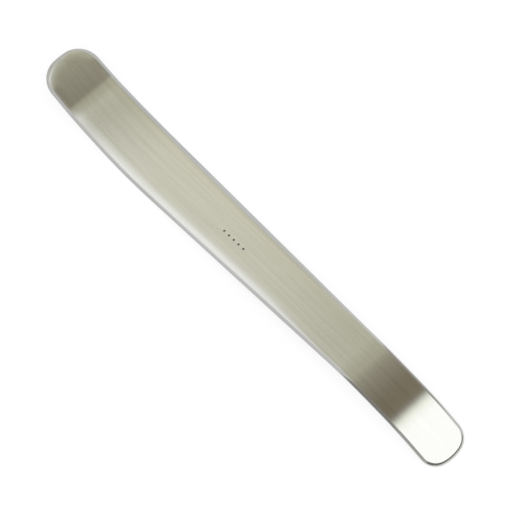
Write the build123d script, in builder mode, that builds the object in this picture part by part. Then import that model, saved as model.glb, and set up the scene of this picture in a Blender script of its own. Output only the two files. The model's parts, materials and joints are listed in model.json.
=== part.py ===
from build123d import *
from math import asin, atan2, degrees
import os

# Double-ended tongue depressor: one strip of stainless sheet, waisted in plan and bent to a shallow S
# in side view, so that the wide tip turns up and the narrow tip turns down. Millimetres and degrees.

# Sheet, with its rim rounded from both faces to a narrow land in the middle
thickness = 1.5
rim_land = 0.1
rim_radius = (thickness - rim_land) / 2

# Plan outline: widths where the side lines turn and at the tips, and how softly they turn
wide_width = 20.65
wide_tip_width = 19.4
narrow_width = 16.2
narrow_tip_width = 15.9
side_blend_radius = 600.0
wide_shoulder_offset = 10.5

# Tips: a shallow crown between two rounded corners
wide_crown_radius = 32.0
wide_corner_radius = 8.2
narrow_crown_radius = 14.0
narrow_corner_radius = 6.0

# Side view: a straight grip, then at the wide end a long sweep, a run, a bend and a straight tip, and
# at the narrow end a heel, a slight bow, a bend and a straight tip
grip_length = 84.5
wide_sweep_radius = 124.0
wide_sweep_angle = 14.0
wide_run = 5.0
wide_tip_bend_radius = 30.0
wide_tip_bend_angle = 9.3
wide_tip_run = 14.8

narrow_heel_radius = 60.0
narrow_heel_angle = 6.0
narrow_bow_radius = 188.0
narrow_bow_angle = 4.0
narrow_tip_bend_radius = 60.0
narrow_tip_bend_angle = 12.8
narrow_tip_run = 10.0

with BuildPart() as tongue_depressor:
    # The bent sheet, from its middle line, with the grip level and the wide end on the left
    with BuildSketch(Plane.XZ) as side_view:
        with BuildLine() as middle_line:
            grip = Line((-grip_length / 2, 0), (grip_length / 2, 0))
            wide_sweep = JernArc(grip @ 0, -(grip % 0), wide_sweep_radius, -wide_sweep_angle)
            wide_straight = PolarLine(wide_sweep @ 1, wide_run, direction=wide_sweep % 1)
            wide_tip_bend = JernArc(
                wide_straight @ 1, wide_straight % 1, wide_tip_bend_radius, -wide_tip_bend_angle
            )
            wide_tip = PolarLine(wide_tip_bend @ 1, wide_tip_run, direction=wide_tip_bend % 1)
            narrow_heel = JernArc(grip @ 1, grip % 1, narrow_heel_radius, -narrow_heel_angle)
            narrow_bow = JernArc(narrow_heel @ 1, narrow_heel % 1, narrow_bow_radius, -narrow_bow_angle)
            narrow_tip_bend = JernArc(
                narrow_bow @ 1, narrow_bow % 1, narrow_tip_bend_radius, -narrow_tip_bend_angle
            )
            narrow_tip = PolarLine(narrow_tip_bend @ 1, narrow_tip_run, direction=narrow_tip_bend % 1)
            offset(amount=thickness / 2)
        make_face()
    extrude(amount=wide_width, both=True)

    # The waisted outline, seen from above: each side line turns at the wide shoulder and at the heel
    left_end = (wide_tip @ 1).X - thickness
    right_end = (narrow_tip @ 1).X + thickness
    wide_shoulder = -grip_length / 2 - wide_shoulder_offset
    with BuildSketch() as outline:
        with BuildLine():
            side_line = FilletPolyline(
                (left_end, wide_tip_width / 2),
                (wide_shoulder, wide_width / 2),
                (grip_length / 2, narrow_width / 2),
                (right_end, narrow_tip_width / 2),
                radius=side_blend_radius,
            )
            Line(side_line @ 0, (left_end, 0))
            Line(side_line @ 1, (right_end, 0))
            mirror(about=Plane.XZ)
        make_face()
    sheet_height = tongue_depressor.part.bounding_box().size.Z
    extrude(amount=sheet_height, both=True, mode=Mode.INTERSECT)

    # Each tip is cut to its crown square to the sheet, then its two corners are rounded
    for tip, crown_radius in ((wide_tip, wide_crown_radius), (narrow_tip, narrow_crown_radius)):
        tip_end = Plane.XZ.from_local_coords(tip @ 1)
        outward = Plane.XZ.from_local_coords(tip % 1)
        tip_plane = Plane(tip_end, x_dir=outward, z_dir=outward.cross(Axis.Y.direction))
        with BuildSketch(tip_plane):
            Rectangle(2 * crown_radius, 2 * wide_width)
            with Locations((-crown_radius, 0)):
                Circle(crown_radius, mode=Mode.SUBTRACT)
        extrude(amount=thickness, both=True, mode=Mode.SUBTRACT)

    for end, corner_radius in ((0, wide_corner_radius), (-1, narrow_corner_radius)):
        crown_edges = tongue_depressor.faces().sort_by(Axis.X)[end].edges().group_by(Axis.Y)
        fillet(crown_edges[0] + crown_edges[-1], radius=corner_radius)

    # The rim is rounded all round: from the grip's long edges it follows the whole outline
    grip_faces = tongue_depressor.faces().filter_by(Axis.Z)
    fillet(grip_faces.edges().filter_by(Axis.Y, reverse=True), radius=rim_radius)

# At rest the strip stands on its narrow tip and on the underside of the wide sweep, so the grip slopes.
# The slope is that of the line that touches both of these round forms from below.
tip_out = narrow_tip % 1
tip_down = Vector(tip_out.Y, -tip_out.X)
tip_rim_centre = narrow_tip @ 1 - tip_out * rim_radius + tip_down * (thickness / 2 - rim_radius)
sweep_centre = Vector(-grip_length / 2, wide_sweep_radius)
span = tip_rim_centre - sweep_centre
underside_radius = wide_sweep_radius + thickness / 2
rest_slope = degrees(atan2(span.Y, span.X) + asin((underside_radius - rim_radius) / span.length))

resting = tongue_depressor.part.rotate(Axis.Y, rest_slope)
box = resting.bounding_box()
resting = resting.translate((-box.center().X, -box.center().Y, -box.min.Z))
resting.label = "tongue_depressor"

# The file states the solid's own largest tolerance, so that its rim faces still close when it is read
os.makedirs("parts", exist_ok=True)
export_step(resting, "parts/tongue_depressor.step", precision_mode=PrecisionMode.GREATEST)
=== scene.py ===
"""Looks, light and camera for the tongue depressor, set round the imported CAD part."""

import json
import math

import bpy
import numpy as np
from mathutils import Matrix, Vector

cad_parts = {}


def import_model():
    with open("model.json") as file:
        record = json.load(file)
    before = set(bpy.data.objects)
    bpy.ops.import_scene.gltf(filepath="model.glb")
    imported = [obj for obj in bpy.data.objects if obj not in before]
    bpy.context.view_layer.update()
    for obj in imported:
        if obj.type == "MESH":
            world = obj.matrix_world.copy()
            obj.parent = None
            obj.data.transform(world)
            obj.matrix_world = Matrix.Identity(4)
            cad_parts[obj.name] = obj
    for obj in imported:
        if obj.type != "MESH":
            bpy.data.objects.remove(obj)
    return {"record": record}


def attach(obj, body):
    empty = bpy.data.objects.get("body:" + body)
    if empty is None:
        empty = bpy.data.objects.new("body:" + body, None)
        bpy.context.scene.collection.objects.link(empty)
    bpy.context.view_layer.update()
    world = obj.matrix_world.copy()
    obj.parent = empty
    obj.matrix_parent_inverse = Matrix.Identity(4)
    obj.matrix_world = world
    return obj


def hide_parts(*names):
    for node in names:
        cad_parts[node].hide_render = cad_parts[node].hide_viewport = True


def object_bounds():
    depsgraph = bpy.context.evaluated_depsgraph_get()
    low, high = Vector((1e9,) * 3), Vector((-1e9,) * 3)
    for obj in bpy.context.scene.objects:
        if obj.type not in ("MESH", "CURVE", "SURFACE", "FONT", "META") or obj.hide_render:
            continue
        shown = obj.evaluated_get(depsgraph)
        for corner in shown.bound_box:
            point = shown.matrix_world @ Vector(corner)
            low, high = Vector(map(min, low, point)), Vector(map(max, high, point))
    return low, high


MM = 0.001

# The strip, with the same driving sizes as the CAD part, in millimetres and degrees
THICKNESS = 1.5
WIDE_WIDTH = 20.65
WIDE_TIP_WIDTH = 19.4
NARROW_WIDTH = 16.2
NARROW_TIP_WIDTH = 15.9
SIDE_BLEND_RADIUS = 600.0
WIDE_SHOULDER_OFFSET = 10.5
WIDE_CROWN_RADIUS = 32.0
WIDE_CORNER_RADIUS = 8.2
NARROW_CROWN_RADIUS = 14.0
NARROW_CORNER_RADIUS = 6.0
GRIP_LENGTH = 84.5

# Each end's side view from the grip outwards: bends as (radius, angle up), and straight runs
WIDE_SWEEP = (124.0, 14.0)
WIDE_RUN = 5.0
WIDE_TIP_BEND = (30.0, 9.3)
WIDE_TIP_RUN = 14.8
NARROW_HEEL = (60.0, -6.0)
NARROW_BOW = (188.0, -4.0)
NARROW_TIP_BEND = (60.0, -12.8)
NARROW_TIP_RUN = 10.0

# Polishing has taken this much off the outline
POLISHED_OFF = 0.01

# It has also left a blunt rim, a superellipse in section. Its depth and its power are given for two
# places along the middle line, counted from the grip's middle to the narrow tip
RIM_CHANGE = (-20.0, 35.0)
RIM_DEPTH = (1.5, 1.04)
RIM_BLUNTNESS = (1.45, 1.32)

# Beside the rim a shoulder fades into the flat by this power. It is steep and wide along the wide
# half, a little less so round the wide tip, and hardly there along the narrow end
SHOULDER_CHANGE = (-91.0, -85.0, 10.0, 36.0)
SHOULDER_SLOPE = (7.0, 9.0, 9.0, 0.7)
SHOULDER_WIDTH = (3.6, 4.8, 4.8, 1.5)
SHOULDER_FADE = 4

# Mesh density, and how the outline's slope and the corners' places are found
SIDE_STEP = 0.7
CROWN_POINTS = 28
CORNER_POINTS = 26
RIM_POINTS = 9
SHOULDER_POINTS = 12
FACE_POINTS = 14
SIDE_SLOPE_REACH = 0.1
CORNER_SLOPE_REACH = 0.5
CORNER_ROUNDS = 12

# The underside's map lies this far beside the top's, so it has grain of its own and no dots
UNDERSIDE_MAP_OFFSET = 40

# The brushing's three noises, each as (length and width of its marks in metres, detail)
FINE_GRAIN = (0.012, 0.00016, 3.0)
BROAD_GRAIN = (0.05, 0.0013, 2.0)
CLOUD_GRAIN = (0.03, 0.012, 2.0)
GRAIN_ROUGHNESS = 0.6
BROAD_SHARE = 0.6
MEAN_GRAIN = 0.5
GRAIN_LOW = 0.3
GRAIN_HIGH = 0.7

# Where the brushing fades towards the narrow tip, in metres along the strip, and by how much
SMOOTH_TIP_START = 0.058
SMOOTH_TIP_END = 0.068
SMOOTH_TIP_FADE = 0.7

# The steel's colours, roughness and relief, and how it spreads reflections across its brushing
STEEL_DARK = (0.55, 0.54, 0.49, 1)
STEEL_LIGHT = (0.65, 0.64, 0.59, 1)
ETCHED_COLOUR = (0.16, 0.155, 0.14, 1)
POLISH_ROUGHNESS = 0.115
CLOUD_ROUGHNESS = 0.04
BRUSHED_ROUGHNESS = 0.06
ETCHED_ROUGHNESS = 0.3
RELIEF_STRENGTH = 0.5
RELIEF_HEIGHT = 0.00001
CROSSWISE_SPREAD = 0.8
CROSSWISE_TURN = 0.25

# A row of etched dots on the grip's top, in metres, with the first one's place as (along, across)
DOTS = 5
FIRST_DOT = (-0.0160, -0.0009)
DOT_PITCH = 0.0022
DOT_RADIUS = 0.0004
DOT_SOFTNESS = 0.00008

# The floor, and how much of its white is its own where the camera or the steel sees it
FLOOR_REACH = 3.0
FLOOR_COLOUR = (0.93, 0.93, 0.94, 1)
FLOOR_GLOW = 0.8

# The ceiling's tones from the wide end to the narrow end, and where in x each turns into the next,
# in metres
CEILING_PALE = (0.805, 0.80, 0.67, 1)
PALE_TO_MIDDLE = (-0.25, -0.06)
CEILING_MIDDLE = (0.55, 0.547, 0.43, 1)
MIDDLE_TO_DIM = (-0.024, 0.008)
CEILING_DIM = (0.36, 0.335, 0.275, 1)
DIM_TO_BROWN = (0.0, 0.06)
CEILING_BROWN = (0.235, 0.205, 0.15, 1)

# The ceiling's bright near side, and where it goes from none to full at its wide end, at its narrow
# end and across
NEAR_SIDE_WHITE = (1.33, 1.36, 1.43, 1)
NEAR_SIDE_WIDE_END = (-0.36, -0.27)
NEAR_SIDE_NARROW_END = (0.01, -0.19)
NEAR_SIDE_ACROSS = (0.108, 0.02)

# How much stronger the ceiling is past its middle, weaker at its far side, and stronger in the far
# corner over the narrow end, and where these changes start and are complete
PAST_MIDDLE_GAIN = 0.24
PAST_MIDDLE_ACROSS = (0.10, 0.15)
FAR_SIDE_LOSS = 0.36
FAR_SIDE_ACROSS = (0.18, 0.28)
FAR_CORNER_GAIN = 0.3
FAR_CORNER_ALONG = (0.03, 0.07)
FAR_CORNER_ACROSS = (0.105, 0.13)

# The softbox's tones from its edge inwards, and where in x each turns into the next, in metres
SOFTBOX_EDGE = (0.235, 0.21, 0.165, 1)
EDGE_TO_BRIGHT = (0.1, 0.152)
SOFTBOX_BRIGHT = (1.44, 1.49, 1.43, 1)
BRIGHT_TO_FULL = (0.135, 0.2)
SOFTBOX_FULL = (1.65, 1.69, 1.77, 1)

# The flags' greys, where 0 is black and 1 is white
END_FLAG_GREY = 0.2
NEAR_FLAG_GREY = 0.3
NEAR_TIP_FLAG_GREY = 0.5
FAR_FLAG_GREY = 0.4
WIDE_TIP_FLAG_GREY = 0.74

# The room, and a lamp that lights the floor but isn't seen in the steel
ROOM_COLOUR = (0.80, 0.81, 0.87, 1)
LAMP_SIZE = 0.7
LAMP_POWER = 3.0
LAMP_PLACE = (0.23, -0.2, 0.75)

# The camera's place round the point it looks at, its lens, and where that point is
CAMERA_AZIMUTH = 50.382
CAMERA_ELEVATION = 67.221
CAMERA_DISTANCE = 0.55
CAMERA_ROLL = -3.381
CAMERA_LENS = 122.03
CAMERA_NEAREST = 0.01
SENSOR_WIDTH = 36.0
AIM_RIGHT = 4.164 * MM
AIM_AWAY = -4.351 * MM
AIM_HEIGHT = 4.0 * MM


def bend(radius, angle):
    """One bend of the side view as (length along it, turn in radians)."""
    turn = math.radians(angle)
    return abs(turn) * radius, turn


def straight(length):
    """One straight run of the side view, in the same form."""
    return length, 0.0


WIDE_PIECES = (
    straight(GRIP_LENGTH / 2),
    bend(*WIDE_SWEEP),
    straight(WIDE_RUN),
    bend(*WIDE_TIP_BEND),
    straight(WIDE_TIP_RUN),
)
NARROW_PIECES = (
    straight(GRIP_LENGTH / 2),
    bend(*NARROW_HEEL),
    bend(*NARROW_BOW),
    bend(*NARROW_TIP_BEND),
    straight(NARROW_TIP_RUN),
)
WIDE_REACH = sum(length for length, turn in WIDE_PIECES)
NARROW_REACH = sum(length for length, turn in NARROW_PIECES)


def follow(pieces, distance):
    """Place (x, z) and slope at each distance from the origin along these (length, turn) pieces."""
    x = np.zeros_like(distance)
    z = np.zeros_like(distance)
    slope = np.zeros_like(distance)
    for length, turn in pieces:
        covered = np.clip(distance, 0, length)
        half_turn = turn * covered / length / 2
        chord = covered * np.sinc(half_turn / np.pi)
        x += chord * np.cos(slope + half_turn)
        z += chord * np.sin(slope + half_turn)
        slope += 2 * half_turn
        distance = distance - length
    return x, z, slope


def middle_line(s):
    """Place and slope of the middle line at s, which is 0 mid-grip and grows to the narrow tip."""
    x_wide, z_wide, slope_wide = follow(WIDE_PIECES, np.maximum(-s, 0))
    x_narrow, z_narrow, slope_narrow = follow(NARROW_PIECES, np.maximum(s, 0))
    return x_narrow - x_wide, z_wide + z_narrow, slope_narrow - slope_wide


def soft_turn(x, place, turn):
    """What a side line gains beyond a turn of its slope that is blended with an arc."""
    reach = SIDE_BLEND_RADIUS * abs(turn) / 2
    rounded = (np.clip(x - place, -reach, reach) + reach) ** 2 / (4 * reach)
    return turn * (rounded + np.maximum(x - place - reach, 0))


def half_width(x):
    """Half the strip's width in plan at x."""
    ends = middle_line(np.array([-WIDE_REACH, NARROW_REACH]))[0]
    left, right = ends[0] - THICKNESS, ends[1] + THICKNESS
    shoulder = -GRIP_LENGTH / 2 - WIDE_SHOULDER_OFFSET
    heel = GRIP_LENGTH / 2
    widths = [w / 2 for w in (WIDE_TIP_WIDTH, WIDE_WIDTH, NARROW_WIDTH, NARROW_TIP_WIDTH)]
    places = [left, shoulder, heel, right]
    slopes = [(b - a) / (q - p) for a, b, p, q in zip(widths, widths[1:], places, places[1:])]
    first_line = widths[0] + slopes[0] * (x - left)
    turns = (soft_turn(x, p, b - a) for p, a, b in zip(places[1:], slopes, slopes[1:]))
    return first_line + sum(turns)


def side(s):
    """Half width at s along the middle line."""
    return half_width(middle_line(s)[0])


def side_slope(s, reach):
    """How fast the half width grows at s, taken over a reach to both sides."""
    return (side(s + reach) - side(s - reach)) / (2 * reach)


def tip(reach, outward, crown_radius, corner_radius):
    """Half a tip's outline, from its middle to the side line, as rows of s, y and its normal."""
    crown_centre = outward * (reach - crown_radius)
    corner_s = crown_centre
    for _ in range(CORNER_ROUNDS):
        corner_y = float(side(np.array([corner_s]))[0]) - corner_radius
        offset = math.sqrt((crown_radius - corner_radius) ** 2 - corner_y**2)
        corner_s = crown_centre + outward * offset
    meet = math.atan2(corner_y, abs(corner_s - crown_centre))
    slope = float(side_slope(np.array([corner_s]), CORNER_SLOPE_REACH)[0])
    last = math.pi / 2 + outward * slope
    rows = []
    for centre_s, centre_y, radius, angles in (
        (crown_centre, 0.0, crown_radius, np.linspace(0, meet, CROWN_POINTS)),
        (corner_s, corner_y, corner_radius, np.linspace(meet, last, CORNER_POINTS)[1:]),
    ):
        normal = np.stack([outward * np.cos(angles), np.sin(angles)], 1)
        rows.append(np.hstack([np.array([centre_s, centre_y]) + radius * normal, normal]))
    return np.vstack(rows)


def upper_outline():
    """The outline's half with y above 0, from the wide tip's middle to the narrow tip's middle."""
    wide = tip(WIDE_REACH, -1, WIDE_CROWN_RADIUS, WIDE_CORNER_RADIUS)
    narrow = tip(NARROW_REACH, 1, NARROW_CROWN_RADIUS, NARROW_CORNER_RADIUS)[::-1]
    count = int((narrow[0, 0] - wide[-1, 0]) / SIDE_STEP)
    s = np.linspace(wide[-1, 0], narrow[0, 0], count + 1)[1:-1]
    slope = side_slope(s, SIDE_SLOPE_REACH)
    normal = np.stack([-slope, np.ones_like(s)], 1) / np.hypot(slope, 1)[:, None]
    return np.vstack([wide, np.column_stack([s, side(s), normal]), narrow])


def edge_profile(s):
    """The sheet's edge in section at each s, from flat to flat, as (distance in, height) points."""
    depth = np.interp(s, RIM_CHANGE, RIM_DEPTH)[:, None]
    blunt = np.interp(s, RIM_CHANGE, RIM_BLUNTNESS)[:, None]
    width = np.interp(s, SHOULDER_CHANGE, SHOULDER_WIDTH)[:, None]
    steep = np.tan(np.radians(np.interp(s, SHOULDER_CHANGE, SHOULDER_SLOPE)))[:, None]
    run = np.linspace(0, 1, SHOULDER_POINTS)[None, 1:]
    rise = steep * width * (1 - (1 - run) ** SHOULDER_FADE) / SHOULDER_FADE
    rim_top = THICKNESS / 2 - rise[:, -1:]

    # The rim is a superellipse, cut off where it is as steep as the shoulder
    cut = 1 - (steep * depth / rim_top) ** (1 / (blunt - 1))
    turn = np.linspace(0, 1, RIM_POINTS)[None, :] * math.pi / 2
    inward = cut * (1 - np.cos(turn))
    height = (1 - (1 - inward) ** blunt) ** (1 / blunt)
    height *= rim_top / height[:, -1:]
    inward *= depth

    across = np.hstack([inward, inward[:, -1:] + run * width])
    up = np.hstack([height, rim_top + rise])
    half = np.stack([across, up], -1)
    return np.hstack([half[:, ::-1], half[:, 1:] * (1, -1)])


def lift(s, y, height):
    """From the flat sheet (s, y, height off the middle) to the bent strip."""
    x, z, slope = middle_line(s)
    return np.stack([x - height * np.sin(slope), y, z + height * np.cos(slope)], -1)


def edge_faces(loop, profile, inset):
    """The quads of the rim and shoulders all round the outline, with their map."""
    rows, columns = profile.shape[:2]
    around = np.hypot(*np.diff(profile, axis=1).T).T
    around = np.hstack([np.zeros((rows, 1)), np.cumsum(around, axis=1)])

    def place(row, column):
        sign = 1 if loop[row, 1] >= 0 else -1
        return inset[row, 0, 0], inset[row, 0, 1] + sign * around[row, column]

    faces, maps = [], []
    for row in range(rows):
        ahead = (row + 1) % rows
        for column in range(columns - 1):
            corners = ((row, column), (ahead, column), (ahead, column + 1), (row, column + 1))
            faces.append([r * columns + c for r, c in corners])
            maps.append([place(r, c) for r, c in corners])
    return faces, maps


def flat_side(inset, last, first_id, underside):
    """The top or the underside inside its ring: points from first_id on, faces and their map."""
    rows, columns = inset.shape[:2]
    column = columns - 1 if underside else 0
    height = -THICKNESS / 2 if underside else THICKNESS / 2
    aside = UNDERSIDE_MAP_OFFSET if underside else 0
    share = np.linspace(0, 1, FACE_POINTS + 1)[1:-1]
    points, faces, maps = [], [], []

    # Lines of points from the ring at one long edge to the ring at the other
    lines = []
    for row in range(1, last):
        s, half = inset[row, column]
        y = half * (1 - 2 * share)
        points.append(lift(np.full_like(y, s), y, np.full_like(y, height)))
        inner = range(first_id, first_id + len(share))
        first_id += len(share)
        ids = [row * columns + column, *inner, (rows - row) * columns + column]
        lines.append((ids, [(s, v + aside) for v in (half, *y, -half)]))

    # A fan of triangles closes each tip
    for tip_row, (ids, flat), wide_end in ((0, lines[0], True), (last, lines[-1], False)):
        centre = tip_row * columns + column
        middle = (inset[tip_row, column, 0], aside)
        order = -1 if wide_end == underside else 1
        for k in range(len(ids) - 1):
            faces.append([centre, ids[k + 1], ids[k]][::order])
            maps.append([middle, flat[k + 1], flat[k]][::order])

    # Quads join each line to the next
    order = -1 if underside else 1
    for (ids_a, flat_a), (ids_b, flat_b) in zip(lines, lines[1:]):
        for k in range(len(ids_a) - 1):
            faces.append([ids_a[k], ids_a[k + 1], ids_b[k + 1], ids_b[k]][::order])
            maps.append([flat_a[k], flat_a[k + 1], flat_b[k + 1], flat_b[k]][::order])
    return np.vstack(points), faces, maps


def strip_mesh():
    """The strip's points, faces and, for each face corner, a map (along, across) in millimetres."""
    upper = upper_outline()
    lower = (upper * (1, -1, 1, -1))[-2:0:-1]
    loop = np.vstack([upper, lower])
    profile = edge_profile(loop[:, 0])
    inset = loop[:, None, :2] - loop[:, None, 2:] * (profile[..., :1] + POLISHED_OFF)
    points = lift(inset[..., 0], inset[..., 1], profile[..., 1]).reshape(-1, 3)
    faces, maps = edge_faces(loop, profile, inset)
    for underside in (False, True):
        inner, inner_faces, inner_maps = flat_side(inset, len(upper) - 1, len(points), underside)
        points = np.vstack([points, inner])
        faces += inner_faces
        maps += inner_maps
    return points, faces, maps


def strip(grip_up, low, high):
    """The dressed strip at rest, its grip sloped as the CAD part's is, set into that part's box."""
    points, faces, maps = strip_mesh()
    slope = math.atan2(-grip_up[0], grip_up[2])
    x = points[:, 0] * math.cos(slope) - points[:, 2] * math.sin(slope)
    z = points[:, 0] * math.sin(slope) + points[:, 2] * math.cos(slope)
    placed = np.stack([x - (x.min() + x.max()) / 2, points[:, 1], z - z.min()], 1) * MM
    placed += ((low[0] + high[0]) / 2, (low[1] + high[1]) / 2, low[2])
    mesh = bpy.data.meshes.new("tongue_depressor_satin")
    mesh.from_pydata(placed.tolist(), [], faces)
    layer = mesh.uv_layers.new(name="along_and_across")
    flat = np.array([corner for face in maps for corner in face], np.float32) * MM
    layer.data.foreach_set("uv", flat.ravel())
    mesh.shade_smooth()
    return placed_object("tongue_depressor_satin", mesh)


def placed_object(name, data):
    """An object in the scene that holds this mesh, lamp or camera."""
    obj = bpy.data.objects.new(name, data)
    bpy.context.scene.collection.objects.link(obj)
    return obj


class Nodes:
    """Short ways to add and link the nodes of one material or world."""

    def __init__(self, owner):
        owner.use_nodes = True
        self.tree = owner.node_tree
        self.tree.nodes.clear()

    def add(self, kind, inputs=(), **settings):
        """A node with its settings, and its inputs linked to a socket or set to a value."""
        node = self.tree.nodes.new(kind)
        for name, value in settings.items():
            setattr(node, name, value)
        for name, value in dict(inputs).items():
            if isinstance(value, bpy.types.NodeSocket):
                self.tree.links.new(value, node.inputs[name])
            else:
                node.inputs[name].default_value = value
        return node

    def math(self, operation, a, b=0.0, c=0.0):
        """The result of one step of arithmetic."""
        return self.add("ShaderNodeMath", {0: a, 1: b, 2: c}, operation=operation).outputs[0]


def ramp(nodes, value, low, high):
    """0 at low, 1 at high and smooth between them."""
    settings = {"Value": value, "From Min": low, "From Max": high}
    return nodes.add("ShaderNodeMapRange", settings, interpolation_type="SMOOTHSTEP").outputs[0]


def blend(nodes, share, first, second):
    """A colour between two others."""
    mix = nodes.add("ShaderNodeMixRGB", {"Fac": share, "Color1": first, "Color2": second})
    return mix.outputs[0]


def glow_material(name):
    """A new material with its nodes, and the world's X and Y where it is seen."""
    material = bpy.data.materials.new(name)
    nodes = Nodes(material)
    place = nodes.add("ShaderNodeTexCoord").outputs["Object"]
    split = nodes.add("ShaderNodeSeparateXYZ", {0: place}).outputs
    return material, nodes, split["X"], split["Y"]


def glow(nodes, colour, strength=1.0):
    """Ends a material's nodes in light of this colour and strength."""
    light = nodes.add("ShaderNodeEmission", {"Color": colour, "Strength": strength})
    nodes.add("ShaderNodeOutputMaterial", {"Surface": light.outputs[0]})


def grain(nodes, vector, along, across, detail):
    """Noise drawn out along the strip: marks of about these lengths in metres."""
    scale = (1 / along, 1 / across, 1.0)
    mapping = nodes.add("ShaderNodeMapping", {"Vector": vector, "Scale": scale})
    noise = nodes.add(
        "ShaderNodeTexNoise",
        {
            "Vector": mapping.outputs[0],
            "Scale": 1.0,
            "Detail": detail,
            "Roughness": GRAIN_ROUGHNESS,
        },
    )
    return noise.outputs["Fac"]


def etched_dots(nodes, along, across):
    """1 inside a row of small dots in the middle of the grip, 0 outside them."""
    step = nodes.math("DIVIDE", nodes.math("SUBTRACT", along, FIRST_DOT[0]), DOT_PITCH)
    number = nodes.math("MAXIMUM", nodes.math("ROUND", step), 0.0)
    number = nodes.math("MINIMUM", number, DOTS - 1.0)
    off_along = nodes.math("MULTIPLY", nodes.math("SUBTRACT", step, number), DOT_PITCH)
    off_across = nodes.math("SUBTRACT", across, FIRST_DOT[1])
    squares = nodes.math("MULTIPLY", off_across, off_across)
    squares = nodes.math("MULTIPLY_ADD", off_along, off_along, squares)
    distance = nodes.math("SQRT", squares)
    return ramp(nodes, distance, DOT_RADIUS + DOT_SOFTNESS, DOT_RADIUS - DOT_SOFTNESS)


def satin_steel():
    """Satin stainless steel, brushed along its length, with small etched dots on the grip's top."""
    material = bpy.data.materials.new("satin_steel")
    nodes = Nodes(material)
    uv = nodes.add("ShaderNodeUVMap", uv_map="along_and_across").outputs[0]
    place = nodes.add("ShaderNodeSeparateXYZ", {0: uv}).outputs
    fine = nodes.math("MULTIPLY", grain(nodes, uv, *FINE_GRAIN), 1 - BROAD_SHARE)
    brushed = nodes.math("MULTIPLY_ADD", grain(nodes, uv, *BROAD_GRAIN), BROAD_SHARE, fine)
    cloud = grain(nodes, uv, *CLOUD_GRAIN)

    # The narrow tip is polished smoother than the rest
    fade = ramp(nodes, place["X"], SMOOTH_TIP_START, SMOOTH_TIP_END)
    strength = nodes.math("MULTIPLY_ADD", fade, -SMOOTH_TIP_FADE, 1.0)
    swing = nodes.math("SUBTRACT", brushed, MEAN_GRAIN)
    brushed = nodes.math("MULTIPLY_ADD", swing, strength, MEAN_GRAIN)

    limits = {"Value": brushed, "From Min": GRAIN_LOW, "From Max": GRAIN_HIGH}
    tone = nodes.add("ShaderNodeMapRange", limits)
    steel_colour = blend(nodes, tone.outputs[0], STEEL_DARK, STEEL_LIGHT)
    dots = etched_dots(nodes, place["X"], place["Y"])
    colour = blend(nodes, dots, steel_colour, ETCHED_COLOUR)

    roughness = nodes.math("MULTIPLY_ADD", cloud, CLOUD_ROUGHNESS, POLISH_ROUGHNESS)
    roughness = nodes.math("MULTIPLY_ADD", brushed, BRUSHED_ROUGHNESS, roughness)
    roughness = nodes.math("MULTIPLY_ADD", dots, ETCHED_ROUGHNESS, roughness)
    bump = nodes.add(
        "ShaderNodeBump",
        {"Height": brushed, "Strength": RELIEF_STRENGTH, "Distance": RELIEF_HEIGHT},
    )
    tangent = nodes.add("ShaderNodeTangent", direction_type="UV_MAP", uv_map="along_and_across")
    shader = nodes.add(
        "ShaderNodeBsdfPrincipled",
        {
            "Base Color": colour,
            "Metallic": 1.0,
            "Roughness": roughness,
            "Anisotropic": CROSSWISE_SPREAD,
            "Anisotropic Rotation": CROSSWISE_TURN,
            "Normal": bump.outputs[0],
            "Tangent": tangent.outputs[0],
        },
    )
    nodes.add("ShaderNodeOutputMaterial", {"Surface": shader.outputs[0]})
    return material


def white_floor():
    """A floor that takes the shadow, and is mostly its own white to the camera and in the steel."""
    material = bpy.data.materials.new("white_floor")
    nodes = Nodes(material)
    shaded = nodes.add("ShaderNodeBsdfDiffuse", {"Color": FLOOR_COLOUR})
    white = nodes.add("ShaderNodeEmission", {"Color": (1, 1, 1, 1), "Strength": 1.0})
    rays = nodes.add("ShaderNodeLightPath").outputs
    seen = nodes.math("MAXIMUM", rays["Is Glossy Ray"], rays["Is Transmission Ray"])
    seen = nodes.math("MAXIMUM", seen, rays["Is Camera Ray"])
    share = nodes.math("MULTIPLY", seen, FLOOR_GLOW)
    mixed = nodes.add("ShaderNodeMixShader", {0: share, 1: shaded.outputs[0], 2: white.outputs[0]})
    nodes.add("ShaderNodeOutputMaterial", {"Surface": mixed.outputs[0]})
    return material


def four_cornered(name, corners, material):
    """A flat four-cornered surface that belongs to the stage."""
    mesh = bpy.data.meshes.new(name)
    mesh.from_pydata(corners, [], [(0, 1, 2, 3)])
    mesh.materials.append(material)
    obj = placed_object(name, mesh)
    return obj


def floor():
    """A white floor far wider than the view."""
    reach = FLOOR_REACH
    corners = [(-reach, -reach, 0), (reach, -reach, 0), (reach, reach, 0), (-reach, reach, 0)]
    four_cornered("floor", corners, white_floor())


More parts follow.
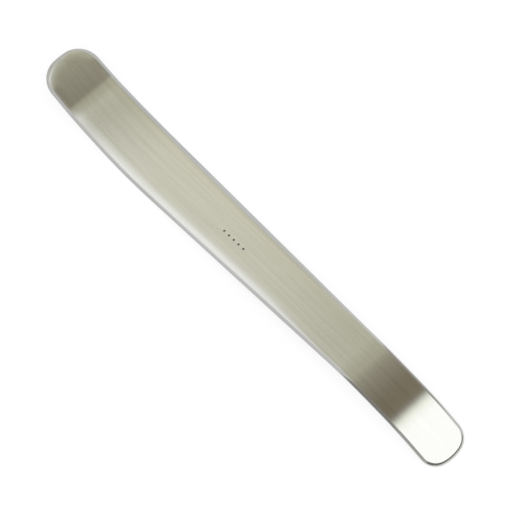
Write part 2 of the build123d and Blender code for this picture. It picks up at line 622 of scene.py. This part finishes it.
def ceiling_light():
    """A ceiling that darkens and warms towards the narrow end, with a bright near side."""
    material, nodes, x, y = glow_material("ceiling_light")
    tone = blend(nodes, ramp(nodes, x, *PALE_TO_MIDDLE), CEILING_PALE, CEILING_MIDDLE)
    tone = blend(nodes, ramp(nodes, x, *MIDDLE_TO_DIM), tone, CEILING_DIM)
    tone = blend(nodes, ramp(nodes, x, *DIM_TO_BROWN), tone, CEILING_BROWN)

    narrow_end = ramp(nodes, x, *NEAR_SIDE_NARROW_END)
    wide_end = ramp(nodes, x, *NEAR_SIDE_WIDE_END)
    near_side = nodes.math("MULTIPLY", narrow_end, wide_end)
    near_side = nodes.math("MULTIPLY", near_side, ramp(nodes, y, *NEAR_SIDE_ACROSS))
    tone = blend(nodes, near_side, tone, NEAR_SIDE_WHITE)

    past_middle = ramp(nodes, y, *PAST_MIDDLE_ACROSS)
    far_side = ramp(nodes, y, *FAR_SIDE_ACROSS)
    corner_along = ramp(nodes, x, *FAR_CORNER_ALONG)
    corner_across = ramp(nodes, y, *FAR_CORNER_ACROSS)
    far_corner = nodes.math("MULTIPLY", corner_along, corner_across)
    strength = nodes.math("MULTIPLY_ADD", past_middle, PAST_MIDDLE_GAIN, 1.0)
    strength = nodes.math("MULTIPLY_ADD", far_side, -FAR_SIDE_LOSS, strength)
    strength = nodes.math("MULTIPLY_ADD", far_corner, FAR_CORNER_GAIN, strength)
    glow(nodes, tone, strength)
    return material


def softbox_light():
    """A bright softbox with a soft near edge."""
    material, nodes, x, _ = glow_material("softbox_light")
    tone = blend(nodes, ramp(nodes, x, *EDGE_TO_BRIGHT), SOFTBOX_EDGE, SOFTBOX_BRIGHT)
    tone = blend(nodes, ramp(nodes, x, *BRIGHT_TO_FULL), tone, SOFTBOX_FULL)
    glow(nodes, tone)
    return material


def flag_grey(grey):
    """A plain grey that looks the same from everywhere."""
    material = bpy.data.materials.new("flag_grey")
    glow(Nodes(material), (grey, grey, grey, 1))
    return material


def card(name, corners, material):
    """A card that only the steel's reflections see."""
    obj = four_cornered(name, corners, material)
    obj.visible_camera = False
    obj.visible_diffuse = False
    obj.visible_shadow = False


def level(x, y, height):
    """Corners of a level card between two places in x and in y."""
    return [(x[0], y[0], height), (x[0], y[1], height), (x[1], y[1], height), (x[1], y[0], height)]


def upright(first, second, bottom, top):
    """Corners of a card that stands over the line between two places on the floor."""
    return [(*first, bottom), (*second, bottom), (*second, top), (*first, top)]


def lights():
    """What the steel mirrors overhead: a ceiling, and below it a softbox past the narrow end."""
    ceiling = level(x=(-0.6, 0.12), y=(-0.12, 0.3), height=0.40)
    softbox = level(x=(0.1, 0.6), y=(-0.22, 0.3), height=0.39)
    card("ceiling_card", ceiling, ceiling_light())
    card("softbox_card", softbox, softbox_light())


def flags():
    """Grey flags that shade the rims: past the narrow tip, at both sides and over the wide tip."""
    end = upright((0.3, -0.3), (0.3, 0.3), bottom=0.0, top=0.2)
    near = upright((0.01, -0.15), (0.09, -0.15), bottom=0.04, top=0.4)
    near_tip = upright((0.09, -0.15), (0.2, -0.15), bottom=0.04, top=0.26)
    far = upright((-0.02, 0.3), (0.13, 0.3), bottom=0.04, top=0.4)
    over_wide_tip = level(x=(-0.3, -0.105), y=(-0.12, 0.05), height=0.1)
    card("end_flag", end, flag_grey(END_FLAG_GREY))
    card("near_flag", near, flag_grey(NEAR_FLAG_GREY))
    card("near_tip_flag", near_tip, flag_grey(NEAR_TIP_FLAG_GREY))
    card("far_flag", far, flag_grey(FAR_FLAG_GREY))
    card("tip_flag", over_wide_tip, flag_grey(WIDE_TIP_FLAG_GREY))


def world():
    """A pale, slightly cool room."""
    room = bpy.data.worlds.new("room")
    nodes = Nodes(room)
    background = nodes.add("ShaderNodeBackground", {"Color": ROOM_COLOUR, "Strength": 1.0})
    nodes.add("ShaderNodeOutputWorld", {"Surface": background.outputs[0]})
    bpy.context.scene.world = room


def lamp():
    """A broad soft lamp overhead; the steel doesn't mirror it."""
    light = bpy.data.lights.new("overhead_lamp", "AREA")
    light.shape = "DISK"
    light.size = LAMP_SIZE
    light.energy = LAMP_POWER
    obj = placed_object("overhead_lamp", light)
    obj.location = LAMP_PLACE
    obj.visible_glossy = False


def camera():
    """The camera, from its direction round the strip, its tilt and the point it looks at."""
    azimuth, elevation = math.radians(CAMERA_AZIMUTH), math.radians(CAMERA_ELEVATION)
    right = Vector((math.cos(azimuth), math.sin(azimuth), 0))
    away = Vector((-math.sin(azimuth), math.cos(azimuth), 0))
    back = -away * math.cos(elevation) + Vector((0, 0, math.sin(elevation)))
    aim = right * AIM_RIGHT + away * AIM_AWAY + Vector((0, 0, AIM_HEIGHT))
    level_axes = Matrix((right, back.cross(right), back)).transposed()
    turned = Matrix.Rotation(math.radians(CAMERA_ROLL), 3, back) @ level_axes
    data = bpy.data.cameras.new("camera")
    data.sensor_width = SENSOR_WIDTH
    data.lens = CAMERA_LENS
    data.clip_start = CAMERA_NEAREST
    obj = placed_object("camera", data)
    obj.matrix_world = Matrix.Translation(aim + back * CAMERA_DISTANCE) @ turned.to_4x4()
    bpy.context.scene.camera = obj


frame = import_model()
cad_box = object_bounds()

grip_top = next(m for m in frame["record"]["mounts"] if m["name"] == "grip_top")
dressed = strip(grip_top["axis"], *cad_box)
dressed.data.materials.append(satin_steel())
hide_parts("tongue_depressor")
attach(dressed, "root")

floor()
lights()
flags()
world()
lamp()
camera()
bpy.context.scene.view_settings.view_transform = "Standard"
